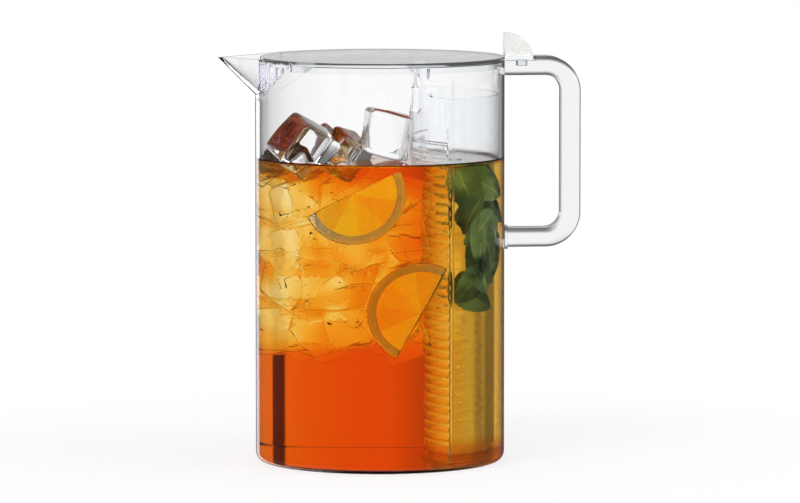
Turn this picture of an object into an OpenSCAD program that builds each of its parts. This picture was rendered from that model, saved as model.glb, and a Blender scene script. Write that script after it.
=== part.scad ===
// Clear plastic iced tea pitcher with a lift-off lid and a lift-out infuser.
// Millimetres. The origin is the middle of the underside, +Z is up,
// +X points to the handle and -X to the spout.

/* [Jug] */
// Outside diameter of the straight wall
body_d = 150; // [130:1:170]
// Height of the rim that the lid sits on
body_h = 241.6; // [220:0.2:270]
// Thickness of the wall
wall = 2.5; // [2:0.1:3.5]
// Thickness of the floor
floor_t = 3; // [2.5:0.5:6]
// Radius round the bottom edge, outside
base_r = 5.5; // [4:0.5:12]
// Radius round the bottom edge, inside
inner_base_r = 3; // [2:0.5:5]

/* [Spout] */
// How far the tip of the beak stands out from the wall
spout_reach = 22.6; // [18:0.2:28]
// Depth of the beak for each millimetre back from its tip
spout_fall = 1; // [0.9:0.02:1.1]
// How far below the beak's root on the wall the seam round the spout moulding starts
seam_drop = 3.8; // [2:0.2:10]
// Slope of that seam, from level
seam_angle = 38; // [34:1:42]

/* [Lid] */
// Thickness of the lid plate and its tongue
lid_t = 2.4; // [2:0.1:4]
// Depth of the skirt that plugs the rim
skirt_h = 4; // [3:0.5:6]
// Thickness of the skirt and of the ice strainer
skirt_t = 1.8; // [1.4:0.1:2.4]
// Gap all round between the skirt and the jug
lid_gap = 0.5; // [0.3:0.05:0.8]
// How far the tongue reaches past the jug's wall
tongue_l = 18.2; // [16:0.2:22]
// How far the handle's bar stands out past the tongue, on each side
tongue_margin = 1; // [0.5:0.1:2]
// Distance from the tongue's end to the middle of the lug under it
lug_inset = 7.75; // [6:0.25:10]
// Length of the lug, along X
lug_l = 5.4; // [4:0.2:7]
// Width of the lug
lug_w = 9; // [6:0.5:12]
// Depth of the lug
lug_h = 3.2; // [2:0.2:4]

/* [Ice strainer] */
// Half of the angle that the bars span
strainer_half = 38; // [34:1:42]
// Width of one slot between bars
slot_w = 3.2; // [2.5:0.1:4]
// Angle from one slot to the next
slot_step = 5.5; // [5:0.1:6.5]
// How far the bars hang below the lid plate, at the middle
strainer_h = 22; // [18:0.5:28]
// Slope of the line that trims the bars, from level
strainer_angle = 55; // [50:1:60]

/* [Thumb rest] */
// Radius of the serrated edge
thumb_r = 17.4; // [14:0.2:20]
// How far the centre of that radius lies below the lid's top
thumb_sink = 3.5; // [2:0.1:5]
// Width across the thumb
thumb_w = 12; // [8:0.5:16]
// Depth of one tooth
tooth_h = 0.7; // [0.4:0.1:1]
// Number of teeth
teeth = 9; // [6:1:12]

/* [Handle] */
// Distance from the jug's axis to the outer face of the grip
handle_reach = 121; // [114:0.2:130]
// Thickness of the bar, in the plane of the loop
bar_t = 11.6; // [9.2:0.2:13]
// Width of the bar
bar_w = 20; // [16:0.5:24]
// Radius along the bar's edges
bar_edge = 4.5; // [2:0.5:5]
// Radius of the loop's corners, at the middle of the bar
bend_r = 15.5; // [13:0.5:18]
// Height of the lower arm, at the middle of the bar
low_arm_z = 134.5; // [110:0.5:150]
// Thickness of the foot that is bonded to the wall
foot_t = 2; // [1.5:0.1:3]
// How far that foot stands out past the bar, above and below
foot_lip = 1.2; // [0.5:0.1:2]

/* [Infuser] */
// Gap between the infuser and the jug's wall
infuser_gap = 0.6; // [0.4:0.1:1]
// Thickness of the infuser's walls and floor
infuser_t = 1.8; // [1.4:0.1:2.2]
// Radius of the bulging screen, outside
screen_r = 115; // [100:1:130]
// Distance from the jug's axis to the crown of the screen
screen_x = 18.5; // [12:0.5:24]
// How far the infuser's mouth lies below the rim
mouth_drop = 19.6; // [15:0.2:26]
// Half width of the corner block's inner face from the corner, along Y
corner_l = 5.7; // [4.5:0.1:8]
// Width of the guide ribs inside the jug
rib_w = 1.6; // [1.2:0.1:2.2]
// How far the guide ribs stand in from the wall
rib_h = 2; // [1.5:0.1:2.5]
// Gap between a guide rib and its groove
rib_gap = 0.4; // [0.3:0.05:0.6]

/* [Grip tab] */
// Width of the tab that rises from the screen
tab_w = 72; // [60:1:80]
// Radius where the tab grows out of the screen's top edge
tab_fillet = 6; // [3:0.5:8]
// Width of the oval finger hole
grip_w = 58; // [48:1:62]
// Height of the oval finger hole
grip_h = 24; // [18:0.5:26]
// Height of the band above the finger hole
grip_band = 6.5; // [4:0.5:9]

/* [Screen slots] */
// Height of one slot in the screen
mesh_h = 1.6; // [1:0.1:2.4]
// Distance from one row of slots to the next
mesh_step = 5.5; // [4.5:0.1:7]
// Solid band from the mouth down to the top row
mesh_band = 29.5; // [22:0.5:40]
// Number of slots in a row
mesh_columns = 9; // [5:1:13]
// Width of the bar between two slots of a row
mesh_bar = 3; // [2:0.2:5]

/* [Hidden] */
$fn = 240;

clear_plastic = [0.86, 0.89, 0.9, 0.35];
frosted_plastic = [0.93, 0.93, 0.91];
grey_plastic = [0.82, 0.83, 0.85, 0.6];
over = 1;                // how far a cutting shape runs past what it cuts
rest_gap = 0.3;          // what a lift-off piece stands clear of its seat

body_r = body_d / 2;
inner_r = body_r - wall;
top_z = body_h + lid_t;  // top of the lid, the beak and the handle
plug_r = inner_r - lid_gap;
seam_z = top_z - spout_fall * spout_reach - seam_drop;
tip_x = body_r + spout_reach;
// The beak's top edges run from its tip to where they touch the round wall
tangent_x = -body_r * body_r / tip_x;
spout_spread = body_r / sqrt(tip_x * tip_x - body_r * body_r);

tongue_end = body_r + tongue_l;
tongue_w = bar_w - 2 * tongue_margin;
lug_x = tongue_end - lug_inset;
thumb_x = tongue_end - thumb_r;
thumb_face = body_r + rest_gap;
thumb_z = top_z - thumb_sink;

infuser_r = inner_r - infuser_gap;
screen_c = screen_x + screen_r;
corner_x = (infuser_r * infuser_r - screen_r * screen_r + screen_c * screen_c)
    / (2 * screen_c);
corner_y = sqrt(infuser_r * infuser_r - corner_x * corner_x);
corner_angle = atan2(corner_y, corner_x);
post_y = corner_y - corner_l;
infuser_z = floor_t + rest_gap;
walls_z = infuser_z + infuser_t;
mouth_z = body_h - mouth_drop;
tab_top = body_h - rest_gap;
grip_z = tab_top - grip_band - grip_h / 2;
mesh_top = mouth_z - mesh_band;
mesh_rows = floor((mesh_top - walls_z - mesh_step) / mesh_step);
screen_half = asin(post_y / screen_r);
mesh_span = 2 * screen_half - 2 * asin(mesh_bar / screen_r);
rib_top = body_h - skirt_h - rest_gap - rib_h;

// A disc with its lower outside edge rounded
module rounded_disc(r, h, edge) {
    rotate_extrude() union() {
        square([r - edge, h]);
        translate([0, edge]) square([r, h - edge]);
        translate([r - edge, edge]) circle(edge);
    }
}

// The wedge over the seam plane on the spout side, which the spout fills
module spout_wedge() {
    translate([-body_r, 0, seam_z]) rotate([0, -seam_angle, 0])
        translate([-2 * body_r, -2 * body_r, 0])
            cube([6 * body_r, 4 * body_r, 4 * body_r]);
}

// A half cone lying on its side, its tip at the beak's tip
module beak_cone(reach) {
    translate([-reach, 0, top_z]) scale([1, spout_spread, spout_fall])
        rotate([0, 90, 0]) cylinder(h = reach, r1 = 0, r2 = reach);
}

// A flat rectangle with round corners
module rounded_bar(t, w, r) {
    union() {
        square([t - 2 * r, w], center = true);
        square([t, w - 2 * r], center = true);
        for (sx = [-1, 1], sy = [-1, 1])
            translate([sx * (t / 2 - r), sy * (w / 2 - r)]) circle(r);
    }
}

// The infuser's lens shape in plan, as a block from z to z + h
module lens(z, h) {
    intersection() {
        translate([0, 0, infuser_z])
            rounded_disc(infuser_r, body_h - infuser_z, inner_base_r + infuser_gap);
        translate([screen_c, 0, z]) cylinder(h = h, r = screen_r);
    }
}

// A block that spans the jug, between y = -half and y = half
module slab(half, z, h) {
    translate([0, -half, z]) cube([2 * body_r, 2 * half, h]);
}

// Straight wall, floor and two upright guide ribs, with a gap for the spout
module jug_body() {
    color(clear_plastic) difference() {
        union() {
            difference() {
                rounded_disc(body_r, body_h, base_r);
                translate([0, 0, floor_t])
                    rounded_disc(inner_r, body_h, inner_base_r);
            }
            for (side = [-1, 1]) guide_rib(side);
        }
        spout_wedge();
    }
}

// One guide rib, rooted in the wall
module guide_rib(side) {
    root = wall / 2;
    rotate(side * corner_angle)
        translate([inner_r - rib_h, -rib_w / 2, floor_t - over])
            cube([rib_h + root, rib_w, rib_top - floor_t + over]);
}

// Beak with the part of the wall that it is moulded with
module spout() {
    color(clear_plastic) difference() {
        union() {
            intersection() {
                cylinder(h = body_h, r = body_r);
                spout_wedge();
            }
            intersection() {
                beak_cone(tip_x);
                spout_wedge();
                translate([-tip_x, -body_r, 0])
                    cube([tip_x + tangent_x, body_d, top_z]);
            }
        }
        translate([0, 0, -over]) cylinder(h = top_z + 2 * over, r = inner_r);
        beak_cone(tip_x - wall * sqrt(1 + spout_fall * spout_fall));
    }
}

// Loop of bar, bonded to the wall at its top and, on a foot, at its lower arm
module handle() {
    grip_x = handle_reach - bar_t / 2;
    high_arm_z = top_z - bar_t / 2;
    color(clear_plastic) difference() {
        union() {
            handle_arm(grip_x, high_arm_z);
            handle_arm(grip_x, low_arm_z);
            translate([grip_x, 0, low_arm_z + bend_r])
                linear_extrude(high_arm_z - low_arm_z - 2 * bend_r)
                    rounded_bar(bar_t, bar_w, bar_edge);
            translate([grip_x - bend_r, 0, high_arm_z - bend_r])
                handle_bend(0);
            translate([grip_x - bend_r, 0, low_arm_z + bend_r])
                handle_bend(90);
            handle_foot();
        }
        translate([0, 0, -over]) cylinder(h = top_z + 2 * over, r = body_r);
        tongue_seat();
    }
}

// Straight arm from inside the wall to the start of the bend
module handle_arm(grip_x, z) {
    start = body_r - 2 * wall;
    translate([start, 0, z]) rotate([0, 90, 0])
        linear_extrude(grip_x - bend_r - start) rounded_bar(bar_t, bar_w, bar_edge);
}

// Quarter turn of the bar in the XZ plane, turned by the given angle
module handle_bend(turn) {
    rotate([0, turn, 0]) rotate([90, 0, 0]) rotate_extrude(angle = 90)
        translate([bend_r, 0]) rounded_bar(bar_t, bar_w, bar_edge);
}

// Thin foot of the lower arm, wrapped on the wall
module handle_foot() {
    tall = bar_t + 2 * foot_lip;
    intersection() {
        cylinder(h = body_h, r = body_r + foot_t);
        translate([0, 0, low_arm_z]) rotate([0, 90, 0])
            linear_extrude(body_r + 2 * foot_t)
                rounded_bar(tall, bar_w + 2 * foot_lip, bar_edge + foot_lip);
    }
}

// Room that the lid's tongue, its lug and the lid's edge take out of the handle
module tongue_seat() {
    seat_z = body_h - rest_gap;
    translate([0, -bar_w, seat_z])
        cube([tongue_end + rest_gap, 2 * bar_w, lid_t + rest_gap + over]);
    translate([lug_x, 0, body_h - lug_h / 2])
        cube([lug_l + 2 * rest_gap, lug_w + 2 * rest_gap, lug_h + 2 * rest_gap],
             center = true);
}

// Round plate with a plug skirt, a tongue over the handle and a locating lug
module lid() {
    color(grey_plastic) difference() {
        union() {
            translate([0, 0, body_h]) cylinder(h = lid_t, r = body_r);
            translate([0, 0, body_h - skirt_h]) cylinder(h = skirt_h + lid_t / 2, r = plug_r);
            translate([0, -tongue_w / 2, body_h]) cube([tongue_end, tongue_w, lid_t]);
            translate([lug_x - lug_l / 2, -lug_w / 2, body_h - lug_h])
                cube([lug_l, lug_w, lug_h + lid_t / 2]);
        }
        translate([0, 0, body_h - skirt_h - over])
            cylinder(h = skirt_h + over, r = plug_r - skirt_t);
        spout_notch();
    }
}

// The plate's edge and the stretch of skirt that are left out at the spout
module spout_notch() {
    difference() {
        translate([-body_d, -body_r, body_h])
            cube([body_d + tangent_x + lid_gap, body_d, lid_t + over]);
        translate([0, 0, body_h - over]) cylinder(h = lid_t + 3 * over, r = plug_r);
    }
    translate([0, 0, body_h - skirt_h - over]) strainer_ring(skirt_h + over, over);
}

// The arc of the skirt that the ice strainer stands in, widened by the margin
module strainer_ring(h, margin) {
    rotate(180 - strainer_half) rotate_extrude(angle = 2 * strainer_half)
        translate([plug_r - skirt_t - margin, 0]) square([skirt_t + 2 * margin, h]);
}

// Comb of bars that hangs from the lid plate across the spout's mouth
module ice_strainer() {
    slots = floor(strainer_half / slot_step - 0.5);
    bar_top = body_h - skirt_t;
    color(clear_plastic) difference() {
        intersection() {
            translate([0, 0, body_h - strainer_h]) strainer_ring(strainer_h, 0);
            translate([-plug_r, 0, body_h - strainer_h]) rotate([0, -strainer_angle, 0])
                translate([-body_r, -body_r, 0]) cube([4 * body_r, body_d, 2 * body_r]);
        }
        for (i = [-slots:slots])
            rotate(180 + i * slot_step)
                translate([inner_r / 2, -slot_w / 2, 0])
                    cube([inner_r, slot_w, bar_top]);
    }
}

// Upright block with a serrated round edge for the thumb
module thumb_rest() {
    first = asin((top_z - thumb_z) / thumb_r);
    last = acos((thumb_face - thumb_x) / thumb_r);
    step = (last - first) / teeth;
    tooth = [for (i = [0:teeth - 1], k = [0:3])
        let (a = first + step * (i + k / 4),
             r = thumb_r - (k < 2 ? tooth_h : 0))
        [thumb_x + r * cos(a), thumb_z + r * sin(a)]];
    back = [[thumb_face, thumb_z + thumb_r - tooth_h], [thumb_face, thumb_z]];
    color(frosted_plastic) translate([0, thumb_w / 2, 0]) rotate([90, 0, 0])
        linear_extrude(thumb_w) intersection() {
            polygon(concat([[thumb_x + thumb_r, thumb_z]], tooth, back));
            translate([thumb_face, top_z]) square(2 * thumb_r);
        }
}

// Perforated bulging wall of the infuser with its grip tab
module infuser_screen() {
    color(clear_plastic) difference() {
        intersection() {
            difference() {
                translate([screen_c, 0, walls_z])
                    cylinder(h = tab_top - walls_z, r = screen_r);
                translate([screen_c, 0, 0])
                    cylinder(h = top_z, r = screen_r - infuser_t);
            }
            screen_outline();
        }
        grip_hole();
        screen_slots();
    }
}

// Outline of the screen and its tab, as a block along X
module screen_outline() {
    fillet_z = mouth_z + tab_fillet;
    slab(post_y, walls_z, mouth_z - walls_z);
    slab(tab_w / 2, walls_z, tab_top - walls_z);
    for (side = [-1, 1]) difference() {
        translate([0, side * tab_w / 2 - tab_fillet, mouth_z - over])
            cube([body_r, 2 * tab_fillet, tab_fillet + over]);
        translate([-over, side * (tab_w / 2 + tab_fillet), fillet_z]) rotate([0, 90, 0])
            cylinder(h = body_d, r = tab_fillet);
    }
}

// Oval finger hole through the tab
module grip_hole() {
    reach = (grip_w - grip_h) / 2;
    for (side = [-1, 1]) translate([0, side * reach, grip_z]) rotate([0, 90, 0])
        cylinder(h = body_r, d = grip_h);
    translate([0, -reach, grip_z - grip_h / 2]) cube([body_r, 2 * reach, grip_h]);
}

// Rows of slots that the drink passes through
module screen_slots() {
    step = mesh_span / mesh_columns;
    bar = 2 * asin(mesh_bar / 2 / screen_r);
    for (row = [0:mesh_rows - 1], i = [0:mesh_columns - 1])
        translate([screen_c, 0, mesh_top - row * mesh_step - mesh_h])
            rotate(180 - mesh_span / 2 + i * step + bar / 2)
                rotate_extrude(angle = step - bar)
                    translate([screen_r - infuser_t - over, 0])
                        square([infuser_t + 2 * over, mesh_h]);
}

// Plain wall of the infuser, on the handle side
module infuser_shell() {
    color(clear_plastic) difference() {
        intersection() {
            lens(walls_z, mouth_z - walls_z);
            slab(post_y, 0, top_z);
        }
        cylinder(h = top_z, r = infuser_r - infuser_t);
    }
}

// Floor of the infuser
module infuser_base() {
    color(clear_plastic) difference() {
        lens(infuser_z, infuser_t);
        rib_grooves();
    }
}

// Two corner blocks that join the screen to the shell and ride on the guide ribs
module corner_posts() {
    color(clear_plastic) difference() {
        lens(walls_z, mouth_z - walls_z);
        slab(post_y, 0, top_z);
        rib_grooves();
    }
}

// Grooves for the guide ribs
module rib_grooves() {
    deep = rib_h + rib_gap;
    wide = rib_w + 2 * rib_gap;
    for (side = [-1, 1]) rotate(side * corner_angle)
        translate([inner_r - deep, -wide / 2, 0]) cube([2 * deep, wide, top_z]);
}

jug_body();
spout();
handle();
lid();
ice_strainer();
thumb_rest();
infuser_screen();
infuser_shell();
infuser_base();
corner_posts();
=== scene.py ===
import logging
import math
import random
from dataclasses import dataclass
from enum import Enum
from typing import Iterable, Sequence

import bmesh
import bpy
from bmesh import ops
from mathutils import Matrix, Vector, noise


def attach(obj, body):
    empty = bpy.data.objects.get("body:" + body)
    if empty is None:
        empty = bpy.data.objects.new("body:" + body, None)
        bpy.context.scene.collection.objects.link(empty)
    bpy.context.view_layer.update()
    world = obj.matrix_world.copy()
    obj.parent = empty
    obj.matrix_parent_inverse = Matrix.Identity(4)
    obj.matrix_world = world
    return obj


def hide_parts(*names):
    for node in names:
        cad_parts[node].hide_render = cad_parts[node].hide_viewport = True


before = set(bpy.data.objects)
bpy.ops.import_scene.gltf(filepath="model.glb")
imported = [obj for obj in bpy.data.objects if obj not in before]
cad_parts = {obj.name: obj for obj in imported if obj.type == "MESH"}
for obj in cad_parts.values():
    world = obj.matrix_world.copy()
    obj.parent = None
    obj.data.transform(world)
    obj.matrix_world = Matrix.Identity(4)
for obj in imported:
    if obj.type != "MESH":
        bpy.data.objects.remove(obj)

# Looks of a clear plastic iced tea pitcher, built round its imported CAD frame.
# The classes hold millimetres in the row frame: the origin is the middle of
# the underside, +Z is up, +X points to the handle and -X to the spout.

LOG = logging.getLogger("pitcher")
MM = 0.001
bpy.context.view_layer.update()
Point = tuple[float, float, float]
Colour = tuple[float, float, float]
Span = tuple[float, float]
Quad = tuple[float, float, float, float]
SCREEN_CENTRE = 133.5
SCREEN_RADIUS = 115.0
LEMON_RADIUS = 30.0
LEMON_SEGMENTS = 5
WHITE = (1.0, 1.0, 1.0)


class Body(Enum):
    """The CAD bodies that pieces ride on."""

    JUG = "jug"
    LID = "lid"
    INFUSER = "infuser"


class Wire:
    """A socket of a node tree that takes part in Python arithmetic."""

    def __init__(self, board: "Board", socket: bpy.types.NodeSocket) -> None:
        """Keeps the tree and the socket."""
        self.board = board
        self.socket = socket

    def math(self, operation: str, *others: "Wire | float") -> "Wire":
        """Adds a Math node with its further values and returns the result."""
        values = dict(enumerate([self, *others]))
        return self.board.add("ShaderNodeMath", values, operation=operation)

    def __add__(self, other: "Wire | float") -> "Wire":
        """Sum."""
        return self.math("ADD", other)

    def __sub__(self, other: "Wire | float") -> "Wire":
        """Difference."""
        return self.math("SUBTRACT", other)

    def __rsub__(self, other: float) -> "Wire":
        """Difference from a number."""
        return (self * -1.0).math("ADD", other)

    def __mul__(self, other: "Wire | float") -> "Wire":
        """Product."""
        return self.math("MULTIPLY", other)

    __radd__ = __add__
    __rmul__ = __mul__

    def ramp(self, start: float, end: float, low: float = 0.0, high: float = 1.0) -> "Wire":
        """Maps start to end onto low to high along a smooth step, level outside them."""
        sockets = {"Value": self, "From Min": start, "From Max": end, "To Min": low, "To Max": high}
        return self.board.add("ShaderNodeMapRange", sockets, interpolation_type="SMOOTHSTEP")

    def band(self, start: float, full: float, last: float, end: float) -> "Wire":
        """Returns 1 from full to last and 0 outside start and end, with smooth steps between."""
        return self.ramp(start, full) * self.ramp(end, last)

    def choose(self, off: "Wire | float", on: "Wire | float") -> "Wire":
        """Returns the first value where this one is 0 and the second where it is 1."""
        return (1.0 - self) * off + self * on

    def blend(self, first: "Wire | Colour", second: "Wire | Colour") -> "Wire":
        """Mixes two colours: the first at 0 and the second at 1."""
        return self.board.add("ShaderNodeMix", {0: self, 6: first, 7: second}, 2, data_type="RGBA")


class Board:
    """The node tree of one material or of the world."""

    def __init__(self, tree: bpy.types.NodeTree) -> None:
        """Empties the tree."""
        self.tree = tree
        tree.nodes.clear()

    def add(self, kind: str, sockets: dict, output: int | str = 0, **settings: str) -> Wire:
        """Adds a node.

        Args:
            kind: The node's type.
            sockets: Values or wires, by the input's name or number.
            output: The output to give back, by name or number.
            settings: Attributes of the node, set first.

        Returns:
            That output.
        """
        node = self.tree.nodes.new(kind)
        for name, value in settings.items():
            setattr(node, name, value)
        for name, value in sockets.items():
            target = node.inputs[name]
            if isinstance(value, Wire):
                self.tree.links.new(value.socket, target)
            elif isinstance(value, tuple) and target.type == "RGBA":
                target.default_value = (*value, 1.0)
            else:
                target.default_value = value
        return Wire(self, node.outputs[output])

    def place(self, attribute: str = "") -> Wire:
        """Coordinates of the surface: the object's own, or a stored attribute's."""
        if attribute:
            return self.add("ShaderNodeAttribute", {}, "Vector", attribute_name=attribute)
        return self.add("ShaderNodeTexCoord", {}, "Object")

    def noise(self, scale: float, detail: float = 3.0, where: Wire | None = None) -> Wire:
        """Adds noise of about 0 to 1, in the object's own coordinates or in others."""
        sockets = {"Vector": where or self.place(), "Scale": scale, "Detail": detail}
        return self.add("ShaderNodeTexNoise", sockets)

    def cells(self, scale: float, where: Wire) -> Wire:
        """Adds round cells at a scale and returns the distance from their middles."""
        return self.add("ShaderNodeTexVoronoi", {"Vector": where, "Scale": scale})

    def vector(self, operation: str, first: Wire, second: Point = (0, 0, 0), output: str = "Value") -> Wire:
        """Adds a Vector Math node and returns one of its outputs."""
        return self.add("ShaderNodeVectorMath", {0: first, 1: second}, output, operation=operation)

    def along(self, where: Wire, direction: Point) -> Wire:
        """Returns how far a vector reaches along a direction."""
        return self.vector("DOT_PRODUCT", where, direction)

    def bump(self, height: Wire, strength: float, distance: float) -> Wire:
        """Returns the normal, bent by a height whose 1 is a distance in metres."""
        return self.add("ShaderNodeBump", {"Height": height, "Strength": strength, "Distance": distance})

    def principled(self, sockets: dict) -> Wire:
        """Adds the usual surface shader with these inputs."""
        return self.add("ShaderNodeBsdfPrincipled", sockets)

    def mix(self, share: "Wire | float", first: Wire, second: Wire) -> Wire:
        """Mixes two shaders by the second one's share."""
        return self.add("ShaderNodeMixShader", {0: share, 1: first, 2: second})

    def path(self, fact: str) -> Wire:
        """Returns a fact about the path of the light, by its output's name."""
        return self.add("ShaderNodeLightPath", {}, fact)

    def past(self, fact: str, count: int) -> Wire:
        """Returns 1 once the light has had more than so many turns of a kind, else 0."""
        return self.path(fact).math("GREATER_THAN", count + 0.5)

    def mirrored(self) -> Wire:
        """Returns 1 for what the outer walls mirror, 0 for what is mirrored deep inside or not at all."""
        return self.past("Glossy Depth", 0) * (1.0 - self.past("Transmission Depth", 4))

    def enclosed(self) -> Wire:
        """Returns 1 for the light that a matt surface behind clear walls gathers, else 0."""
        return self.past("Diffuse Depth", 0) * self.path("Is Transmission Ray")

    def finish(self, kind: str, **ends: Wire | None) -> None:
        """Adds the output node and links what it is given to the inputs of these names."""
        node = self.tree.nodes.new(kind)
        for name, wire in ends.items():
            if wire:
                self.tree.links.new(wire.socket, node.inputs[name])


@dataclass(frozen=True)
class Finish:
    """A finish of one kind of piece."""

    name: str

    def material(self) -> bpy.types.Material:
        """Returns the finish's material, made on its first use."""
        known = bpy.data.materials.get(self.name)
        if known:
            return known
        made = bpy.data.materials.new(self.name)
        made.use_nodes = True
        board = Board(made.node_tree)
        board.finish("ShaderNodeOutputMaterial", Surface=self.surface(board), Volume=self.volume(board))
        return made

    def surface(self, board: Board) -> Wire:
        """Adds the finish's nodes and returns its shader."""
        raise NotImplementedError

    def volume(self, board: Board) -> Wire | None:
        """Adds what fills the piece, if anything does, and returns its shader."""
        return None


@dataclass(frozen=True)
class Clear(Finish):
    """Clear plastic, ice or the skin of the tea."""

    ior: float = 1.49
    tint: Colour = WHITE
    rough: float = 0.0
    rough_span: float = 0.03
    grain: float = 90.0
    grain_range: Span = (0.4, 0.75)
    wave: float = 0.0
    wave_share: float = 0.6
    gleam: float = 0.4
    cloud: float = 0.0

    def surface(self, board: Board) -> Wire:
        """Adds a see-through shader whose gloss varies a little."""
        grain = board.noise(self.grain)
        sockets = {
            "Base Color": self.tint,
            "Roughness": grain.ramp(*self.grain_range, self.rough, self.rough + self.rough_span),
            "Transmission Weight": 1.0 - self.cloud,
            "IOR": self.ior,
            "Specular Tint": (self.gleam,) * 3,
        }
        if self.wave:
            waves = board.noise(self.grain * self.wave_share)
            sockets["Normal"] = board.bump(waves, 0.5, self.wave * MM)
        return board.principled(sockets)


@dataclass(frozen=True)
class Brew(Clear):
    """Clear tea, coloured by how far light goes through it, which bends light only against its ice."""

    ior: float = 1.02
    rough_span: float = 0.015
    grain: float = 60.0
    grain_range: Span = (0.5, 0.8)
    gleam: float = 0.0
    absorbed: Colour = (1.9, 19.0, 75.0)

    def volume(self, board: Board) -> Wire:
        """Adds what the tea takes out of the light."""
        most = max(self.absorbed)
        colour = tuple(1.0 - share / most for share in self.absorbed)
        return board.add("ShaderNodeVolumeAbsorption", {"Color": colour, "Density": most})


@dataclass(frozen=True)
class Satin(Finish):
    """Pale moulded plastic with a fine frosted grain."""

    light: Colour = (0.80, 0.80, 0.78)
    dark: Colour = (0.70, 0.70, 0.68)
    cloud_scale: float = 140.0
    grain_scale: float = 1500.0
    grain_height: float = 0.1
    rough: Quad = (0.3, 0.7, 0.32, 0.5)

    def surface(self, board: Board) -> Wire:
        """Adds a soft opaque shader with fine grain."""
        fine = board.noise(self.grain_scale, 2.0)
        return board.principled({
            "Base Color": board.noise(self.cloud_scale).ramp(0.35, 0.7).blend(self.light, self.dark),
            "Roughness": fine.ramp(*self.rough),
            "Normal": board.bump(fine, 0.25, self.grain_height * MM),
        })


@dataclass(frozen=True)
class Fresh(Finish):
    """Fruit or leaf, which light from behind shines through."""

    glow: float = 0.3
    sheen: float = 0.5

    def flesh(self, board: Board, colour: Wire, rough: "Wire | float", normal: Wire) -> Wire:
        """Mixes the shader of the lit side with light of its colour from behind."""
        lit = board.principled({
            "Base Color": colour, "Roughness": rough, "Specular IOR Level": self.sheen, "Normal": normal})
        return board.mix(self.glow, lit, board.add("ShaderNodeBsdfTranslucent", {"Color": colour}))


@dataclass(frozen=True)
class Peel(Fresh):
    """Lemon rind and pith, told apart by the distance from the slice's middle."""

    rind: Colour = (0.40, 0.25, 0.07)
    pith: Colour = (0.28, 0.19, 0.09)
    pale_pith: Colour = (0.34, 0.24, 0.12)
    rind_depth: Span = (2.2, 1.2)
    fibre_scale: float = 0.8
    pit_scale: float = 0.9
    pit_depth: float = 0.4
    rough: float = 0.45
    glow: float = 0.2
    sheen: float = 0.2

    def surface(self, board: Board) -> Wire:
        """Adds a pale pith inside a thin pitted rind."""
        where = board.place("slice")
        away = board.vector("LENGTH", where)
        skin = away.ramp(*(LEMON_RADIUS - depth for depth in self.rind_depth))
        pits = board.cells(self.pit_scale, where)
        fibre = board.noise(self.fibre_scale, 4.0, where).ramp(0.3, 0.7)
        colour = skin.blend(fibre.blend(self.pith, self.pale_pith), self.rind)
        return self.flesh(board, colour, self.rough, board.bump(pits, 0.4, self.pit_depth * MM))


@dataclass(frozen=True)
class Pulp(Fresh):
    """Juicy lemon segments with small cells, each segment of its own shade."""

    pale: Colour = (1.0, 0.80, 0.04)
    deep: Colour = (0.96, 0.48, 0.01)
    shade_step: float = 0.381
    first_shade: float = 0.7
    cell_scale: float = 0.45
    cell_stretch: Point = (1.0, 1.0, 0.3)
    cell_share: float = 0.25
    cell_height: float = 0.6
    rough: Span = (0.2, 0.4)
    glow: float = 0.6
    sheen: float = 0.2

    def surface(self, board: Board) -> Wire:
        """Adds a yellow shader whose cells are longer through the slice than across it."""
        where = board.place("slice")
        across = board.along(where, (1.0, 0.0, 0.0))
        heading = board.along(where, (0.0, 1.0, 0.0)).math("ARCTAN2", across)
        number = (heading * (LEMON_SEGMENTS / math.pi)).math("FLOOR")
        own = (number * self.shade_step + self.first_shade).math("FRACT")
        stretched = board.vector("MULTIPLY", where, self.cell_stretch, "Vector")
        shade = board.cells(self.cell_scale, stretched).ramp(0.1, 0.9)
        colour = (shade * self.cell_share + own * (1.0 - self.cell_share)).blend(self.pale, self.deep)
        rough = shade.ramp(0.0, 1.0, *self.rough)
        return self.flesh(board, colour, rough, board.bump(shade, 0.5, self.cell_height * MM))


@dataclass(frozen=True)
class Leaf(Fresh):
    """Mint leaf with a pale midrib and side veins."""

    blade: Colour = (0.02, 0.06, 0.025)
    bright: Colour = (0.13, 0.25, 0.09)
    vein: Colour = (0.40, 0.52, 0.18)
    veins: float = 7.0
    vein_lean: float = 6.0
    vein_edge: Span = (0.10, 0.02)
    midrib_edge: Span = (0.07, 0.02)
    vein_depth: float = 0.5
    patch_scale: float = 48.0
    patch_share: float = 0.8
    mottle_scale: float = 220.0
    rough: Quad = (0.3, 0.7, 0.35, 0.55)

    def surface(self, board: Board) -> Wire:
        """Adds patchy green with veins drawn in the leaf's own coordinates."""
        where = board.place("leaf")
        along = board.along(where, (1.0, 0.0, 0.0))
        across = board.along(where, (0.0, 1.0, 0.0)).math("ABSOLUTE")
        waves = (along * self.veins - across * self.vein_lean).math("FRACT")
        ribs = (waves - 0.5).math("ABSOLUTE").ramp(*self.vein_edge)
        veins = ribs.math("MAXIMUM", across.ramp(*self.midrib_edge))
        mottle = board.noise(self.mottle_scale)
        broad = board.noise(self.patch_scale).ramp(0.36, 0.64)
        patches = broad * self.patch_share + mottle.ramp(0.35, 0.7) * (1.0 - self.patch_share)
        green = patches.blend(self.blade, self.bright)
        colour = (veins * patches.ramp(0.0, 0.7, 0.25, 0.8)).blend(green, self.vein)
        rough = mottle.ramp(*self.rough)
        return self.flesh(board, colour, rough, board.bump(veins, 0.6, -self.vein_depth * MM))


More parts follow.
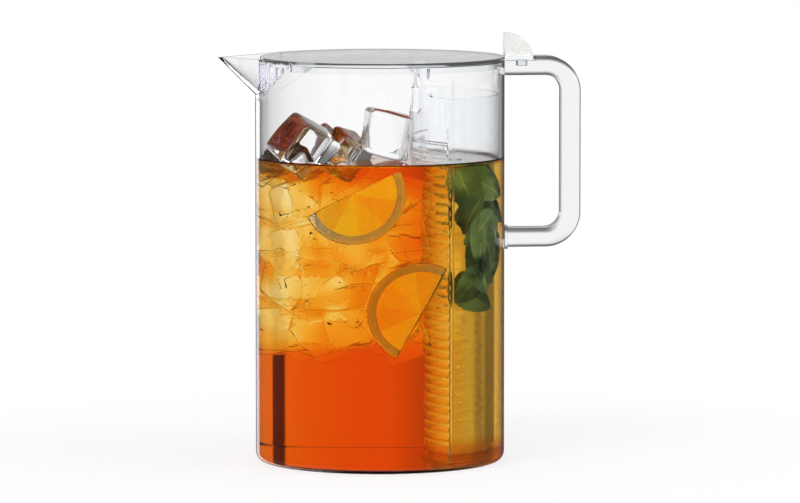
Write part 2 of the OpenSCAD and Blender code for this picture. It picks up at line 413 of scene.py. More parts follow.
@dataclass(frozen=True)
class Ground(Finish):
    """Pale floor near the object, plain white further out."""

    radius: float
    white_share: float = 0.7
    fade: Span = (0.4, 0.95)
    pale: Colour = (0.93, 0.93, 0.93)
    paler: Colour = (0.95, 0.95, 0.95)
    grain: float = 40.0

    def surface(self, board: Board) -> Wire:
        """Adds a matt floor, white with distance, that clear walls and gloss look past."""
        away = board.vector("LENGTH", board.place()).ramp(*(self.radius * share for share in self.fade))
        matt = board.principled({
            "Base Color": board.noise(self.grain).blend(self.pale, self.paler),
            "Roughness": 0.8,
            "Specular IOR Level": 0.0,
        })
        white = board.add("ShaderNodeEmission", {"Color": WHITE, "Strength": 1.0})
        shader = board.mix(away, board.mix(self.white_share, matt, white), white)
        open_to_world = board.add("ShaderNodeBsdfTransparent", {"Color": WHITE})
        beyond = board.mirrored().math("MAXIMUM", board.path("Is Transmission Ray"))
        return board.mix(beyond, shader, open_to_world)


JUG_CLEAR = Clear("jug_clear_plastic")
HANDLE_CLEAR = Clear("handle_clear_plastic", tint=(0.915, 0.92, 0.92), rough_span=0.02)
LID_CLEAR = Clear("lid_clear_plastic", tint=(0.93, 0.95, 0.97), rough_span=0.05)
SEAM_CLEAR = Clear("seam_plastic", ior=1.001, tint=(0.93, 0.93, 0.93), gleam=0.0)
INFUSER_CLEAR = Clear("infuser_clear_plastic", ior=1.05, tint=(0.97, 0.98, 0.99), rough=0.2,
                      rough_span=0.06, gleam=0.2)
STRAINER_CLEAR = Clear("strainer_plastic", ior=1.2, tint=(0.88, 0.88, 0.94), rough=0.02, cloud=0.05)
INFUSER_FROST = Clear("infuser_frosted_plastic", ior=1.15, tint=(0.95, 0.96, 0.98), gleam=0.2, cloud=0.03)
CLEAR_ICE = Clear("clear_ice", ior=1.31, rough_span=0.02, grain=120.0, wave=0.3, gleam=0.3)
SUNK_ICE = Clear("sunk_ice", ior=1.005, rough_span=0.02, grain=120.0, gleam=0.0)
TEA_SKIN = Clear("tea_surface", ior=1.333, rough_span=0.015, grain=60.0, gleam=0.0)
TEA = Brew("tea")
WEAK_TEA = Brew("weak_tea", absorbed=(0.5, 4.2, 20.0))
FROSTED = Satin("frosted_plastic")
LEMON_PEEL = Peel("lemon_peel")
LEMON_PULP = Pulp("lemon_pulp")
MINT = Leaf("mint_leaf")


def rounded(points: Sequence[Point], steps: int = 6) -> list[Span]:
    """Rounds the corners of a profile.

    Args:
        points: Corners as (radius, height, corner radius).
        steps: Straight pieces in each rounded corner.

    Returns:
        The profile's points as (radius, height).
    """
    path = []
    last = len(points) - 1
    for i, (r, z, bend) in enumerate(points):
        here = Vector((r, z))
        if bend <= 0 or i in (0, last):
            path.append((r, z))
            continue
        back = (Vector(points[i - 1][:2]) - here).normalized()
        ahead = (Vector(points[i + 1][:2]) - here).normalized()
        half = back.angle(ahead) / 2
        centre = here + (back + ahead).normalized() * (bend / math.sin(half))
        first = here + back * (bend / math.tan(half)) - centre
        turn = first.angle_signed(here + ahead * (bend / math.tan(half)) - centre)
        for k in range(steps + 1):
            spoke = first.copy()
            spoke.rotate(Matrix.Rotation(-turn * k / steps, 2))
            path.append(tuple(centre + spoke))
    return path


def turned(axis: str, degrees: float) -> Matrix:
    """Returns a turn about an axis."""
    return Matrix.Rotation(math.radians(degrees), 4, axis)


def placed(middle: Point, turn: Point) -> Matrix:
    """Returns the matrix that turns about X, Y and Z, in degrees, and then moves to a middle."""
    about_x, about_y, about_z = (turned(axis, degrees) for axis, degrees in zip("XYZ", turn))
    return Matrix.Translation(middle) @ about_z @ about_y @ about_x


def stand(name: str, data: bpy.types.ID) -> bpy.types.Object:
    """Puts a new object into the scene and returns it."""
    made = bpy.data.objects.new(name, data)
    bpy.context.scene.collection.objects.link(made)
    return made


def look(made: bpy.types.Object, spot: Vector, target: Vector) -> None:
    """Sets an object down in a spot, turned to look at a target."""
    made.location = spot * MM
    made.rotation_mode = "QUATERNION"
    made.rotation_quaternion = (target - spot).to_track_quat("-Z", "Y")


def weigh(piece: bpy.types.Object) -> None:
    """Lets a piece's large faces keep their own normals, so that only its rounded edges bend them."""
    even = piece.modifiers.new("even", "WEIGHTED_NORMAL")
    even.mode = "FACE_AREA"
    even.keep_sharp = True


class Form:
    """A mesh in the making, in millimetres."""

    def __init__(self) -> None:
        """Starts empty."""
        self.bm = bmesh.new()

    @classmethod
    def of_node(cls, node: str) -> "Form":
        """Starts from a merged copy of a CAD node's mesh.

        Args:
            node: The node's name.

        Returns:
            The copy, with its flat faces whole again.
        """
        form = cls()
        form.bm.from_mesh(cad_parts[node].data)
        ops.scale(form.bm, vec=(1 / MM,) * 3, verts=form.bm.verts)
        ops.remove_doubles(form.bm, verts=form.bm.verts, dist=0.002)
        ops.dissolve_limit(
            form.bm, angle_limit=math.radians(0.4), verts=form.bm.verts, edges=form.bm.edges)
        return form

    def lathe(self, profile: Sequence[Span], steps: int) -> "Form":
        """Spins a profile about the Z axis.

        Args:
            profile: Points as (radius, height).
            steps: Faces round the axis.

        Returns:
            This form.
        """
        verts = [self.bm.verts.new((r, 0.0, z)) for r, z in profile]
        edges = [self.bm.edges.new(pair) for pair in zip(verts, verts[1:])]
        ops.spin(self.bm, geom=verts + edges, cent=(0, 0, 0), axis=(0, 0, 1),
                 angle=math.tau, steps=steps, use_merge=True)
        return self.weld()

    def outward(self) -> "Form":
        """Turns all faces outwards."""
        ops.recalc_face_normals(self.bm, faces=self.bm.faces)
        return self

    def weld(self) -> "Form":
        """Merges doubles and turns all faces outwards."""
        ops.remove_doubles(self.bm, verts=self.bm.verts, dist=0.001)
        return self.outward()

    def disc(self, radius: float, sides: int = 96) -> "Form":
        """Adds a flat disc about the origin."""
        ops.create_circle(self.bm, cap_ends=True, segments=sides, radius=radius)
        return self

    def box(self, size: Point, centre: Point) -> "Form":
        """Adds a box of that size about that centre."""
        matrix = Matrix.Translation(centre) @ Matrix.Diagonal((*size, 1.0))
        ops.create_cube(self.bm, size=1.0, matrix=matrix)
        return self

    def trim(self, point: Point, normal: Point) -> "Form":
        """Cuts away what lies past a plane and leaves the cut open.

        Args:
            point: A point of the plane.
            normal: Direction of the side that goes.

        Returns:
            This form.
        """
        geom = [*self.bm.verts, *self.bm.edges, *self.bm.faces]
        ops.bisect_plane(self.bm, geom=geom, dist=1e-5, plane_co=point, plane_no=normal, clear_outer=True)
        return self

    def slice(self, point: Point, normal: Point) -> "Form":
        """Cuts as trim does and closes the cut."""
        self.trim(point, normal)
        rim = [edge for edge in self.bm.edges if edge.is_boundary]
        ops.edgenet_fill(self.bm, edges=rim)
        return self.outward()

    def thicken(self, thick: float) -> "Form":
        """Turns a flat face into a plate about its own plane."""
        ops.translate(self.bm, vec=(0, 0, -thick / 2), verts=self.bm.verts)
        raised = ops.extrude_face_region(self.bm, geom=self.bm.faces[:], use_keep_orig=True)
        verts = [v for v in raised["geom"] if isinstance(v, bmesh.types.BMVert)]
        ops.translate(self.bm, vec=(0, 0, thick), verts=verts)
        return self.outward()

    def mark(self, direction: Vector) -> list[bmesh.types.BMFace]:
        """Gives the faces that look in a direction the piece's second finish, and returns them."""
        self.bm.normal_update()
        faces = [face for face in self.bm.faces if face.normal.dot(direction) > 0.9999]
        for face in faces:
            face.material_index = 1
        return faces

    def soften(self, width: float, segments: int = 2, angle: float = 40.0,
               leave: Sequence[bmesh.types.BMFace] = ()) -> "Form":
        """Rounds edges.

        Args:
            width: Width of the rounding.
            segments: Faces across it.
            angle: Edges that turn by more than this, in degrees, are rounded.
            leave: Faces whose edges stay sharp.

        Returns:
            This form.
        """
        left = {edge for face in leave for edge in face.edges}
        sharp = [edge for edge in self.bm.edges if edge not in left
                 and len(edge.link_faces) == 2 and edge.calc_face_angle(0.0) > math.radians(angle)]
        ops.bevel(self.bm, geom=sharp, offset=width, offset_type="OFFSET", segments=segments,
                  profile=0.5, affect="EDGES", clamp_overlap=True, material=-1)
        return self

    def shrink(self, gap: float) -> "Form":
        """Draws the surface in by a hairline, so that pieces which touch stay apart."""
        self.bm.normal_update()
        inward = [(vert, vert.normal * -gap) for vert in self.bm.verts]
        for vert, step in inward:
            vert.co += step
        return self

    def move(self, matrix: Matrix) -> "Form":
        """Transforms the whole form."""
        ops.transform(self.bm, matrix=matrix, verts=self.bm.verts)
        return self

    def add(self, other: "Form") -> "Form":
        """Takes in another form, which is used up."""
        held = bpy.data.meshes.new("held")
        other.bm.to_mesh(held)
        other.bm.free()
        self.bm.from_mesh(held)
        bpy.data.meshes.remove(held)
        return self

    def remember(self, name: str) -> "Form":
        """Stores each vertex's present place as an attribute for the finish."""
        layer = self.bm.verts.layers.float_vector.new(name)
        for vert in self.bm.verts:
            vert[layer] = vert.co
        return self

    def mesh(self, name: str, crease: float = 40.0) -> bpy.types.Mesh:
        """Turns the form into a mesh in metres.

        Args:
            name: The mesh's name.
            crease: Edges that turn by more than this angle stay sharp.

        Returns:
            The mesh.
        """
        ops.scale(self.bm, vec=(MM,) * 3, verts=self.bm.verts)
        made = bpy.data.meshes.new(name)
        self.bm.to_mesh(made)
        self.bm.free()
        made.shade_smooth()
        made.set_sharp_from_angle(angle=math.radians(crease))
        return made

    def piece(self, name: str, body: Body, finish: Finish, replaces: Iterable[str] = (),
              slot: str = "", crease: float = 40.0) -> bpy.types.Object:
        """Turns the form into a piece that rides on a body.

        Args:
            name: The piece's name.
            body: The body that it moves with.
            finish: Its finish.
            replaces: CAD nodes that it stands for.
            slot: Not used.
            crease: Edges that turn by more than this angle stay sharp.

        Returns:
            The piece.
        """
        made = stand(name, self.mesh(name, crease))
        made.data.materials.append(finish.material())
        weigh(made)
        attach(made, body.value)
        if replaces:
            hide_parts(*replaces)
        LOG.info("%s: %d faces on %s", name, len(made.data.polygons), body.value)
        return made


@dataclass
class Jug:
    """Straight wall with its guide ribs, spout and handle."""

    outer: float = 74.96
    inner: float = 72.5
    rim: float = 241.6
    floor: float = 3.0
    base_bend: float = 5.5
    inner_bend: float = 3.0
    rim_bend: float = 0.8
    steps: int = 240
    seam_x: float = -75.0
    seam_z: float = 217.6
    seam_slope: float = 38.0
    rib: Point = (1.9, 1.6, 230.0)
    rib_angle: float = 59.4
    rib_gap: float = 0.1
    rib_lift: float = 0.3
    rib_edge: float = 0.3
    spout_edge: float = 0.5
    spout_angle: float = 35.0
    handle_edge: float = 0.4

    def build(self) -> None:
        """Makes the four pieces of the jug."""
        self.wall()
        self.ribs()
        self.spout()
        self.handle()

    def seam(self) -> Vector:
        """Returns the direction from the wall to the spout across their seam."""
        slope = math.radians(self.seam_slope)
        return Vector((-math.sin(slope), 0, math.cos(slope)))

    @staticmethod
    def join(form: Form, name: str) -> None:
        """Makes a piece of the wall, with a second finish for its seam."""
        made = form.piece(name, Body.JUG, JUG_CLEAR, [name], "jug_plastic")
        made.data.materials.append(SEAM_CLEAR.material())

    def wall(self) -> None:
        """Spins the wall and cuts the seam."""
        profile = rounded([
            (0, 0, 0), (self.outer, 0, self.base_bend), (self.outer, self.rim, self.rim_bend),
            (self.inner, self.rim, self.rim_bend), (self.inner, self.floor, self.inner_bend),
            (0, self.floor, 0)])
        form = Form().lathe(profile, self.steps)
        form.slice((self.seam_x, 0, self.seam_z), self.seam())
        form.mark(self.seam())
        self.join(form, "jug_body")

    def ribs(self) -> None:
        """Stands the two guide ribs against the wall."""
        deep, _, tall = self.rib
        middle = (self.inner - deep / 2 - self.rib_gap, 0, self.floor + self.rib_lift + tall / 2)
        ribs = Form()
        for side in (-1, 1):
            rib = Form().box(self.rib, middle).soften(self.rib_edge)
            ribs.add(rib.move(turned("Z", side * self.rib_angle)))
        ribs.piece("guide_ribs", Body.JUG, INFUSER_CLEAR, ["jug_body"], "jug_plastic")

    def spout(self) -> None:
        """Rounds the edges of the beak, but for its seam."""
        form = Form.of_node("spout")
        seam = form.mark(-self.seam())
        form.soften(self.spout_edge, angle=self.spout_angle, leave=seam)
        self.join(form, "spout")

    def handle(self) -> None:
        """Rounds the edges that the bar's own rounding leaves."""
        form = Form.of_node("handle").soften(self.handle_edge)
        form.piece("handle", Body.JUG, HANDLE_CLEAR, ["handle"], "handle_plastic")


@dataclass
class Lid:
    """Plate with its skirt and tongue, the ice strainer and the thumb rest."""

    edge: float = 0.5
    bar_edge: float = 0.25
    bar_gap: float = 0.1
    tooth_edge: float = 0.2
    tooth_angle: float = 25.0

    def build(self) -> None:
        """Makes the three pieces of the lid."""
        plate = Form.of_node("lid").soften(self.edge, 3)
        plate.piece("lid", Body.LID, LID_CLEAR, ["lid"], "lid_plastic")
        comb = Form.of_node("ice_strainer").soften(self.bar_edge).shrink(self.bar_gap)
        comb.piece("ice_strainer", Body.LID, STRAINER_CLEAR, ["ice_strainer"], "jug_plastic")
        rest = Form.of_node("thumb_rest").soften(self.tooth_edge, angle=self.tooth_angle)
        rest.piece("thumb_rest", Body.LID, FROSTED, ["thumb_rest"], "frosted_plastic")


@dataclass
class Infuser:
    """Perforated screen, plain shell, floor and corner posts."""

    wall: float = 1.8
    skin_share: float = 0.7
    setback: float = 0.3
    half_width: float = 56.1
    low: float = 5.15
    split: float = 195.9
    split_gap: float = 0.05
    top_row: float = 192.5
    pitch: float = 5.5
    rows: int = 33
    hole: float = 1.6
    columns: int = 78
    margin: int = 2
    bulge: float = 0.55
    bulge_power: float = 0.7
    edge: float = 0.4
    hairline: float = 0.15

    def build(self) -> None:
        """Makes the four pieces of the infuser."""
        self.screen()
        for node in ("infuser_shell", "infuser_base", "corner_posts"):
            Form.of_node(node).soften(self.edge).shrink(self.hairline).piece(
                node, Body.INFUSER, INFUSER_CLEAR, [node], "infuser_plastic")

    def levels(self) -> list[tuple[float, float, bool]]:
        """Returns the rows of the screen as (height, bulge, whether holes lie over it)."""
        rib = self.pitch - self.hole
        found = [(self.low, 0.0, False)]
        for row in reversed(range(self.rows)):
            start = self.top_row - row * self.pitch - self.hole
            found.append((start, 0.0, True))
            found.append((start + self.hole, 0.0, False))
            for share in (0.25, 0.5, 0.75):
                out = self.bulge * math.sin(math.pi * share) ** self.bulge_power
                found.append((start + self.hole + rib * share, out, False))
        found.append((self.split - self.split_gap, 0.0, False))
        return found

    def screen(self) -> None:
        """Makes the ribbed, perforated wall and sets the CAD's grip tab on it."""
        levels = self.levels()
        rows = len(levels) - 1
        half = math.asin(self.half_width / SCREEN_RADIUS)
        form = Form()
        ops.create_grid(form.bm, x_segments=self.columns, y_segments=rows, size=1.0)
        doomed = []
        for face in form.bm.faces:
            middle = face.calc_center_median()
            column = int((middle.x + 1) / 2 * self.columns)
            row = int((middle.y + 1) / 2 * rows)
            if levels[row][2] and column % 2 and self.margin < column < self.columns - self.margin:
                doomed.append(face)
        ops.delete(form.bm, geom=doomed, context="FACES")
        for vert in form.bm.verts:
            height, out, _ = levels[round((vert.co.y + 1) / 2 * rows)]
            angle = vert.co.x * half
            reach = SCREEN_RADIUS - self.wall / 2 - self.setback + out
            vert.co = (SCREEN_CENTRE - reach * math.cos(angle), -reach * math.sin(angle), height)
        ops.solidify(form.outward().bm, geom=form.bm.faces[:], thickness=self.wall * self.skin_share)
        form.outward()
        form.add(Form.of_node("infuser_screen").slice((0, 0, self.split), (0, 0, -1)).soften(self.edge))
        form.piece("infuser_screen", Body.INFUSER, INFUSER_FROST, ["infuser_screen"], "infuser_plastic")


@dataclass
class Cube:
    """One ice cube: its middle, its size and how it is turned, in degrees."""

    middle: Point
    size: float
    turn: Point
    edge_share: float = 0.12
    side_share: float = 0.4
    seed_scale: float = 0.7
    wave_scale: float = 0.045
    wave_share: float = 0.09

    def form(self, shrink: float = 0.0) -> Form:
        """Makes the cube with melted edges and hollowed sides.

        Args:
            shrink: How far the surface is drawn in.

        Returns:
            The cube in its place.
        """
        edge = self.size - 2 * shrink
        cube = Form().box((edge,) * 3, (0, 0, 0)).soften(edge * self.edge_share, 3)
        sides = [e for e in cube.bm.edges if e.calc_length() > edge * self.side_share]
        ops.subdivide_edges(cube.bm, edges=sides, cuts=3, use_grid_fill=True)
        for vert in cube.bm.verts:
            seed = Vector(self.middle) * self.seed_scale + vert.co * self.wave_scale
            vert.co += vert.co.normalized() * (noise.noise(seed) * self.size * self.wave_share)
        return cube.move(placed(self.middle, self.turn))


@dataclass
class HalfSlice:
    """Half a slice of lemon: its name, its middle and its tilt, roll and swing in degrees."""

    name: str
    middle: Point
    turn: Point
    thick: float = 6.0
    edge: float = 0.9
    pulp_radius: float = 24.9
    pulp_proud: float = 1.0

    def wedge(self, start: float, end: float) -> Form:
        """Returns one flat segment between two angles in degrees."""
        form = Form().disc(self.pulp_radius)
        for degrees, sign in ((start, 1), (end, -1)):
            angle = math.radians(degrees)
            form.trim((0, 0, 0), (sign * math.sin(angle), -sign * math.cos(angle), 0))
        return form

    def build(self) -> None:
        """Makes the peel and the pulp as two pieces."""
        tilt, roll, swing = self.turn
        place = Matrix.Translation(self.middle) @ turned("Z", swing) @ turned("X", tilt) @ turned("Z", roll)
        peel = Form().disc(LEMON_RADIUS).trim((0, 0, 0), (0, 1, 0)).thicken(self.thick)
        peel.soften(self.edge, 3)
        peel.remember("slice").move(place).piece(self.name + "_peel", Body.JUG, LEMON_PEEL)
        pulp = Form()
        step = 180.0 / LEMON_SEGMENTS
        for k in range(LEMON_SEGMENTS):
            wedge = self.wedge(180.0 + k * step, 180.0 + (k + 1) * step)
            pulp.add(wedge.thicken(self.thick + self.pulp_proud))
        pulp.remember("slice").move(place).piece(self.name + "_pulp", Body.JUG, LEMON_PULP)


@dataclass
class Drink:
    """Tea, the ice in it and its lemon slices."""

    radius: float = 72.6
    low: float = 2.9
    level: float = 182.5
    bend: float = 3.1
    climb: float = 1.5
    climb_reach: float = 3.0
    climb_power: float = 2.5
    steps: int = 240
    skin: float = 0.2
    ice_gap: float = 0.25
    ice_crease: float = 60.0
    floaters: tuple[Cube, ...] = (
        Cube((-47, -22, 192), 28, (20, 30, 25)),
        Cube((-21, -8, 187), 22, (35, 10, 50)),
        Cube((2, -20, 199), 27, (-2, 12, 6)),
        Cube((-30, 44, 181), 24, (30, 40, 10)),
        Cube((-54, 20, 180), 22, (15, 55, 35)),
    )
    lemons: tuple[HalfSlice, ...] = (
        HalfSlice("lemon_slice_upper", (-21, -55, 166), (86, 27, -3)),
        HalfSlice("lemon_slice_lower", (18, -53, 94.5), (86, 242, -12)),
    )
    lemon_spots: tuple[Span, ...] = ((-15, 150), (6, 92))
    lemon_room: float = 38.0
    lemon_front: float = -28.0
    sunk: int = 40
    sunk_spans: tuple[Span, Span, Span] = ((-60, 20), (-60, 60), (80, 159))
    sunk_reach: float = 51.0
    sunk_front: float = -60.0
    sunk_sizes: Span = (25, 30)
    screen_room: float = 14.0
    screen_share: float = 1.7
    spacing: float = 26.5
    rounds: int = 120
    push_share: float = 0.4
    wall_from: float = 32.0
    wall_lean: float = 20.0
    loose_lean: float = 45.0
    seed: int = 11
    brew_radius: float = 69.9
    brew_gap: float = 1.0
    brew_low: float = 6.6
    brew_steps: int = 64

    def build(self) -> None:
        """Makes the ice, the tea's clear skin and the coloured tea with room for it, and the lemon."""
        cubes, gap = self.pack(), self.ice_gap
        self.heap(cubes).piece("ice_cubes", Body.JUG, SUNK_ICE, crease=self.ice_crease)
        self.heap(self.floaters).piece("floating_ice", Body.JUG, CLEAR_ICE, crease=self.ice_crease)
        self.brew(0.0).piece("weak_tea", Body.JUG, WEAK_TEA)
        self.liquid("tea_surface", TEA_SKIN, 0.0, self.heap(self.floaters, gap))
        room = self.brew(gap).add(self.heap([*cubes, *self.floaters], gap))
        self.liquid("tea", TEA, self.skin, room)
        for lemon in self.lemons:
            lemon.build()

    def keep(self, place: Vector) -> Vector:
        """Returns the nearest place inside the part of the jug that the ice fills."""
        low, high = self.sunk_spans[2]
        z = min(max(place.z, low), high)
        flat = Vector((place.x, place.y))
        if flat.length > self.sunk_reach:
            flat *= self.sunk_reach / flat.length
        screen = SCREEN_CENTRE - math.sqrt(SCREEN_RADIUS ** 2 - flat.y ** 2) - self.screen_room
        lemon = min(Vector((flat.x - x, z - height)).length for x, height in self.lemon_spots)
        front = self.lemon_front if lemon < self.lemon_room else self.sunk_front
        return Vector((min(flat.x, screen), max(flat.y, front), z))

    def pack(self) -> list[Cube]:
        """Strews the ice under the surface and pushes it apart, clear of the lemon and the infuser.

        Returns:
            The sunk cubes.
        """
        rng = random.Random(self.seed)
        spots = [self.keep(Vector([rng.uniform(*span) for span in self.sunk_spans]))
                 for _ in range(self.sunk)]
        for _ in range(self.rounds):
            for i, spot in enumerate(spots):
                push = Vector()
                for other in spots[:i] + spots[i + 1:]:
                    apart = spot - other
                    if apart.length < self.spacing:
                        push += apart.normalized() * (self.spacing - apart.length) * self.push_share
                spots[i] = self.keep(spot + push)
        cubes = []
        for spot in spots:
            lean = self.wall_lean if math.hypot(spot.x, spot.y) > self.wall_from else self.loose_lean
            swing = math.degrees(math.atan2(spot.y, spot.x)) + rng.uniform(-lean, lean)
            room = math.hypot(spot.x - SCREEN_CENTRE, spot.y) - SCREEN_RADIUS
            size = min(rng.uniform(*self.sunk_sizes), room * self.screen_share)
            turn = (rng.uniform(-lean, lean), rng.uniform(-lean, lean), swing)
            cubes.append(Cube(tuple(spot), size, turn))
        return cubes

    @staticmethod
    def heap(cubes: Iterable[Cube], shrink: float = 0.0) -> Form:
        """Makes a heap of ice.

        Args:
            cubes: The cubes in it.
            shrink: How far their surfaces are drawn in.

        Returns:
            All the cubes as one form.
        """
        form = Form()
        for cube in cubes:
            form.add(cube.form(shrink))
        return form

    def brew(self, shrink: float) -> Form:
        """Makes the weaker tea that fills the infuser between its screen and its clear wall.

        Args:
            shrink: How far the surface is drawn in.

        Returns:
            The tea in its place.
        """
        outer, inner = self.brew_radius - shrink, SCREEN_RADIUS - self.brew_gap - shrink
        corner_x = (outer ** 2 - inner ** 2 + SCREEN_CENTRE ** 2) / (2 * SCREEN_CENTRE)
        corner_y = math.sqrt(outer ** 2 - corner_x ** 2)
        low, high = self.low + self.brew_low + shrink, self.level - self.brew_gap - shrink
        arcs = ((0.0, math.atan2(corner_y, corner_x)), (SCREEN_CENTRE, math.asin(corner_y / inner)))
        form = Form()
        last = [form.bm.verts.new((corner_x, -corner_y, (low + high) / 2))]
        for middle, half in arcs:
            spun = ops.spin(form.bm, geom=last, cent=(middle, 0, 0), axis=(0, 0, 1), dvec=(0, 0, 0),
                            angle=2 * half, steps=self.brew_steps, use_merge=False)
            last = [item for item in spun["geom_last"] if isinstance(item, bmesh.types.BMVert)]
        form.weld()
        ops.contextual_create(form.bm, geom=form.bm.edges[:])
        return form.thicken(high - low)

    def liquid(self, name: str, finish: Finish, inset: float, room: Form) -> None:
        """Spins a body of liquid up to its curved edge and cuts the room for other things out of it.

        Args:
            name: The piece's name.
            finish: Its finish.
            inset: How far it stays inside the tea's outer surface.
            room: What is cut out of it.
        """
        radius, low, level = self.radius - inset, self.low + inset, self.level - inset
        profile = rounded([(0, low, 0), (radius, low, self.bend - inset), (radius, level + self.climb, 0)])
        for share in (0.2, 0.4, 0.6, 0.8, 1.0):
            height = self.climb * (1 - share) ** self.climb_power
            profile.append((radius - self.climb_reach * share, level + height))
        profile += [(radius * 0.6, level), (0, level)]
        made = Form().lathe(profile, self.steps).piece(name, Body.JUG, finish)
        made.modifiers.clear()
        cutter = stand("room", room.mesh("room", self.ice_crease))
        cut = made.modifiers.new("room", "BOOLEAN")
        cut.operation = "DIFFERENCE"
        cut.solver = "EXACT"
        cut.use_self = True
        cut.object = cutter
        bpy.context.view_layer.update()
        held = made.evaluated_get(bpy.context.evaluated_depsgraph_get())
        solid = bpy.data.meshes.new_from_object(held)
        made.modifiers.clear()
        made.data = solid
        weigh(made)
        bpy.data.objects.remove(cutter)


@dataclass
class Sprig:
    """Mint leaves in the infuser."""

    count: int = 18
    seed: int = 7
    long: float = 30.0
    wide: float = 16.0
    thick: float = 0.35
    tip: float = 2.2
    belly: float = 0.75
    taper: float = 0.22
    tooth: float = 0.07
    teeth: int = 7
    curls: Span = (0.1, 0.35)
    sizes: Span = (0.9, 1.25)
    spans: tuple[Span, Span, Span] = ((43, 57.5), (-42, -8), (102, 173))
    turns: tuple[Span, Span, Span] = ((65, 105), (20, 140), (-35, 35))
    wall_radius: float = 68.6
    screen_gap: float = 3.5

    def leaf(self, rng: random.Random, middle: Point, turn: Point, size: float) -> Form:
        """Makes one leaf: pointed, toothed and curled.

        Args:
            rng: Source of small differences.
            middle: Place of the leaf's middle.
            turn: Turn about X, Y and Z in degrees.
            size: Scale of the leaf.

        Returns:
            The leaf in its place.
        """
        form = Form()
        ops.create_grid(form.bm, x_segments=2 * self.teeth, y_segments=6, size=1.0)
        form.remember("leaf")
        curl = rng.uniform(*self.curls)
        for vert in form.bm.verts:
            u, v = vert.co.x, vert.co.y
            width = (1 - abs(u) ** self.tip) ** self.belly * (1.0 - self.taper * u)
            toothed = abs(v) > 0.99 and round((u + 1) * self.teeth) % 2
            reach = 1.0 + (self.tooth if toothed else 0.0)
            vert.co = (u * self.long / 2, v * width * self.wide / 2 * reach,
                       self.long * (0.5 * curl * (v * v) * width - curl * 0.5 * u * u))
        form.weld()
        ops.solidify(form.bm, geom=form.bm.faces[:], thickness=self.thick)
        ops.scale(form.bm, vec=(size,) * 3, verts=form.bm.verts)
        form.move(placed(middle, turn))
        self.confine(form)
        return form

    def confine(self, form: Form) -> None:
        """Presses what would stick out of the infuser against its walls."""
        limits = ((SCREEN_CENTRE, SCREEN_RADIUS - self.screen_gap), (0.0, self.wall_radius))
        for vert in form.bm.verts:
            for axis, limit in limits:
                away = Vector((vert.co.x - axis, vert.co.y))
                if away.length > limit:
                    away *= limit / away.length
                    vert.co = (axis + away.x, away.y, vert.co.z)

    def build(self) -> None:
        """Scatters leaves in the infuser's chamber, from the lowest to the highest."""
        rng = random.Random(self.seed)
        across, deep, (low, high) = self.spans
        form = Form()
        for k in range(self.count):
            z = low + (high - low) * k / (self.count - 1)
            y = rng.uniform(*deep)
            x = rng.uniform(*across)
            turn = tuple(rng.uniform(*span) for span in self.turns)
            form.add(self.leaf(rng, (x, y, z), turn, rng.uniform(*self.sizes)))
        form.piece("mint_leaves", Body.INFUSER, MINT, crease=70.0)


class Ray:
    """A ray's direction as the camera sees it, and the walls that the ray has passed."""

    def __init__(self, board: Board, azimuth: float) -> None:
        """Takes the direction apart.

        Args:
            board: The world's tree.
            azimuth: Where the camera stands, in degrees.
        """
        where = board.add("ShaderNodeTexCoord", {}, "Generated")
        turn = math.radians(azimuth)
        back = board.along(where, (-math.sin(turn), math.cos(turn), 0.0))
        self.side = board.along(where, (math.cos(turn), math.sin(turn), 0.0))
        self.rise = board.along(where, (0.0, 0.0, 1.0))
        self.angle = self.side.math("ABSOLUTE").math("ARCTAN2", back.math("ABSOLUTE")) * math.degrees(1.0)
        self.ahead = back.ramp(0.0, 0.3)
        self.upward = self.rise.ramp(-0.02, 0.02)
        self.inside = board.past("Transmission Depth", 0)
        self.behind = board.past("Transmission Depth", 2)
        self.deep = board.past("Transmission Depth", 8)
        self.once = (1.0 - board.past("Glossy Depth", 1)) * (1.0 - self.behind)


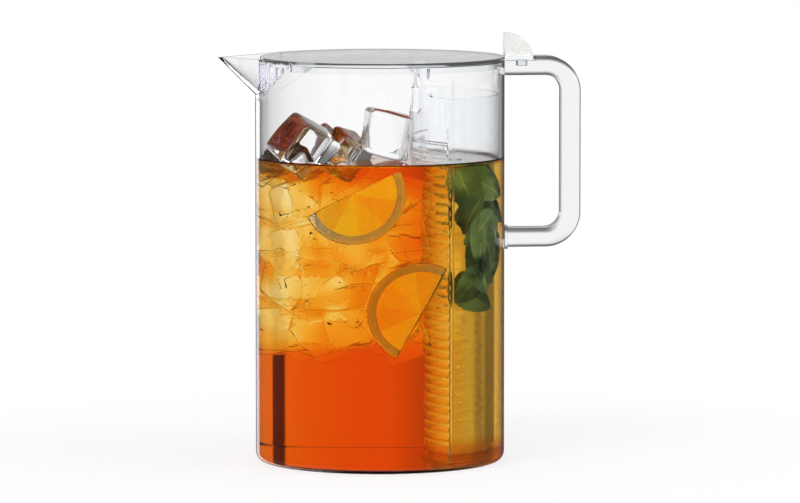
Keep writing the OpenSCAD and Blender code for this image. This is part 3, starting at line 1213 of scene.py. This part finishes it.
@dataclass
class Surround:
    """White world with grey zones that clear walls bend or mirror into view as soft lines."""

    azimuth: float
    fill: float = 0.7
    inner_fill: float = 5.5
    fade_side: Span = (0.0, -0.22)
    fade_angle: Span = (41, 39)
    fade_clear: Span = (21, 18.5)
    fade_share: float = 0.36
    high: Quad = (0.10, 0.42, 1.0, 0.18)
    high_deep: Quad = (0.3, 0.9, 1.0, 0.5)
    low: Quad = (-0.2, -0.45, 1.0, 0.15)
    low_deep: Quad = (-0.25, -0.6, 1.0, 0.3)
    flag_angle: Quad = (29, 31.5, 38.5, 40.5)
    flag_dark: Quad = (-0.2, 0.2, 0.7, 0.92)
    flag_clear: Span = (-0.1, 0.1)
    flag_clear_share: float = 0.8
    wide_angle: Span = (57, 62)
    wide_dark: float = 0.85
    least_gloss: float = 0.1
    panel: Quad = (-0.40, -0.34, 0.03, 0.10)
    panel_gloss: float = 0.5
    strip: Quad = (-0.50, -0.46, -0.27, -0.22)
    strip_gloss: float = 1.5
    far_strip: Quad = (0.34, 0.38, 0.48, 0.52)
    far_strip_share: float = 0.2
    guided: Span = (-0.2, -0.12)
    guided_gloss: float = 0.8

    def through(self, ray: Ray) -> Wire:
        """Returns how bright the world is behind clear walls."""
        fade = ray.behind * ray.side.ramp(*self.fade_side) * ray.angle.ramp(*self.fade_angle)
        fade = fade * (1.0 - ray.deep * ray.angle.ramp(*self.fade_clear)) * self.fade_share
        high = ray.deep.choose(ray.rise.ramp(*self.high), ray.rise.ramp(*self.high_deep))
        low = ray.deep.choose(ray.rise.ramp(*self.low), ray.rise.ramp(*self.low_deep))
        dark = 1.0 - ray.deep * ray.side.ramp(*self.flag_clear) * self.flag_clear_share
        flag = ray.angle.band(*self.flag_angle) * ray.side.ramp(*self.flag_dark) * dark
        wide = ray.angle.ramp(*self.wide_angle) * self.wide_dark
        return (1.0 - fade) * high * low * (1.0 - flag) * (1.0 - wide)

    def gloss(self, ray: Ray) -> Wire:
        """Returns how bright the world is in what the walls mirror."""
        panel = ray.side.band(*self.panel) * ray.ahead * ray.upward
        strip = ray.once * ray.side.band(*self.strip)
        strip = strip + ray.inside * ray.side.band(*self.far_strip) * self.far_strip_share
        strip = strip * ray.ahead * (1.0 - ray.upward)
        guided = ray.inside * ray.upward * ray.ahead * ray.side.ramp(*self.guided)
        plain = panel * self.panel_gloss + strip * self.strip_gloss
        return self.least_gloss + plain.math("MAXIMUM", guided * self.guided_gloss)

    def build(self) -> None:
        """Makes the world."""
        world = bpy.data.worlds.new("surround")
        bpy.context.scene.world = world
        world.use_nodes = True
        board = Board(world.node_tree)
        ray = Ray(board, self.azimuth)
        level = board.path("Is Transmission Ray").choose(self.fill, self.through(ray))
        level = board.mirrored().choose(level, self.gloss(ray))
        level = board.enclosed().choose(level, self.inner_fill)
        level = board.path("Is Camera Ray").choose(level, 1.0)
        light = board.add("ShaderNodeBackground", {"Color": WHITE, "Strength": level})
        board.finish("ShaderNodeOutputWorld", Surface=light)


@dataclass
class Lamp:
    """Square soft lamp that looks at the jug's middle."""

    name: str
    spot: Point
    size: float
    power: float
    target: Point = (0, 0, 120)

    def build(self) -> None:
        """Hangs the lamp."""
        data = bpy.data.lights.new(self.name, "AREA")
        data.size = self.size * MM
        data.energy = self.power
        look(stand(self.name, data), Vector(self.spot), Vector(self.target))


@dataclass
class Studio:
    """Camera, floor, world and lamps."""

    azimuth: float = -5.65
    distance: float = 3500.0
    height: float = 460.0
    aim_side: float = 12.1
    aim_z: float = 126.1
    lens: float = 262.45
    sight: float = 100.0
    floor_radius: float = 420.0
    floor_drop: float = 0.4
    bounces: int = 40
    gloss_bounces: int = 8
    open_bounces: int = 16
    lamps: tuple[Lamp, ...] = (
        Lamp("key_lamp", (-1000, -1400, 1700), 1200, 18.0),
        Lamp("side_lamp", (1500, -600, 1200), 1000, 8.0),
    )

    def build(self) -> None:
        """Makes the whole studio."""
        scene = bpy.context.scene
        scene.view_settings.view_transform = "Standard"
        scene.cycles.max_bounces = self.bounces
        scene.cycles.transmission_bounces = self.bounces
        scene.cycles.glossy_bounces = self.gloss_bounces
        scene.cycles.transparent_max_bounces = self.open_bounces
        self.camera()
        self.floor()
        Surround(self.azimuth).build()
        for lamp in self.lamps:
            lamp.build()

    def camera(self) -> None:
        """Sets the camera at the photograph's angle."""
        turn = math.radians(self.azimuth)
        side = Vector((math.cos(turn), math.sin(turn), 0))
        aim = side * self.aim_side + Vector((0, 0, self.aim_z))
        spot = Vector((math.sin(turn) * self.distance, -math.cos(turn) * self.distance, self.height))
        data = bpy.data.cameras.new("camera")
        data.lens = self.lens
        data.clip_end = self.sight
        camera = stand("camera", data)
        look(camera, spot, aim)
        bpy.context.scene.camera = camera

    def floor(self) -> None:
        """Lays a round pale floor that fades into the white background."""
        form = Form().disc(self.floor_radius).move(Matrix.Translation((0, 0, -self.floor_drop)))
        floor = stand("floor", form.mesh("floor"))
        floor.data.materials.append(Ground("pale_floor", self.floor_radius * MM).material())


def main() -> None:
    """Builds the studio and the pitcher."""
    logging.basicConfig(level=logging.INFO, format="%(name)s: %(message)s")
    for part in (Studio(), Jug(), Lid(), Infuser(), Drink(), Sprig()):
        part.build()


if __name__ == "__main__":
    main()
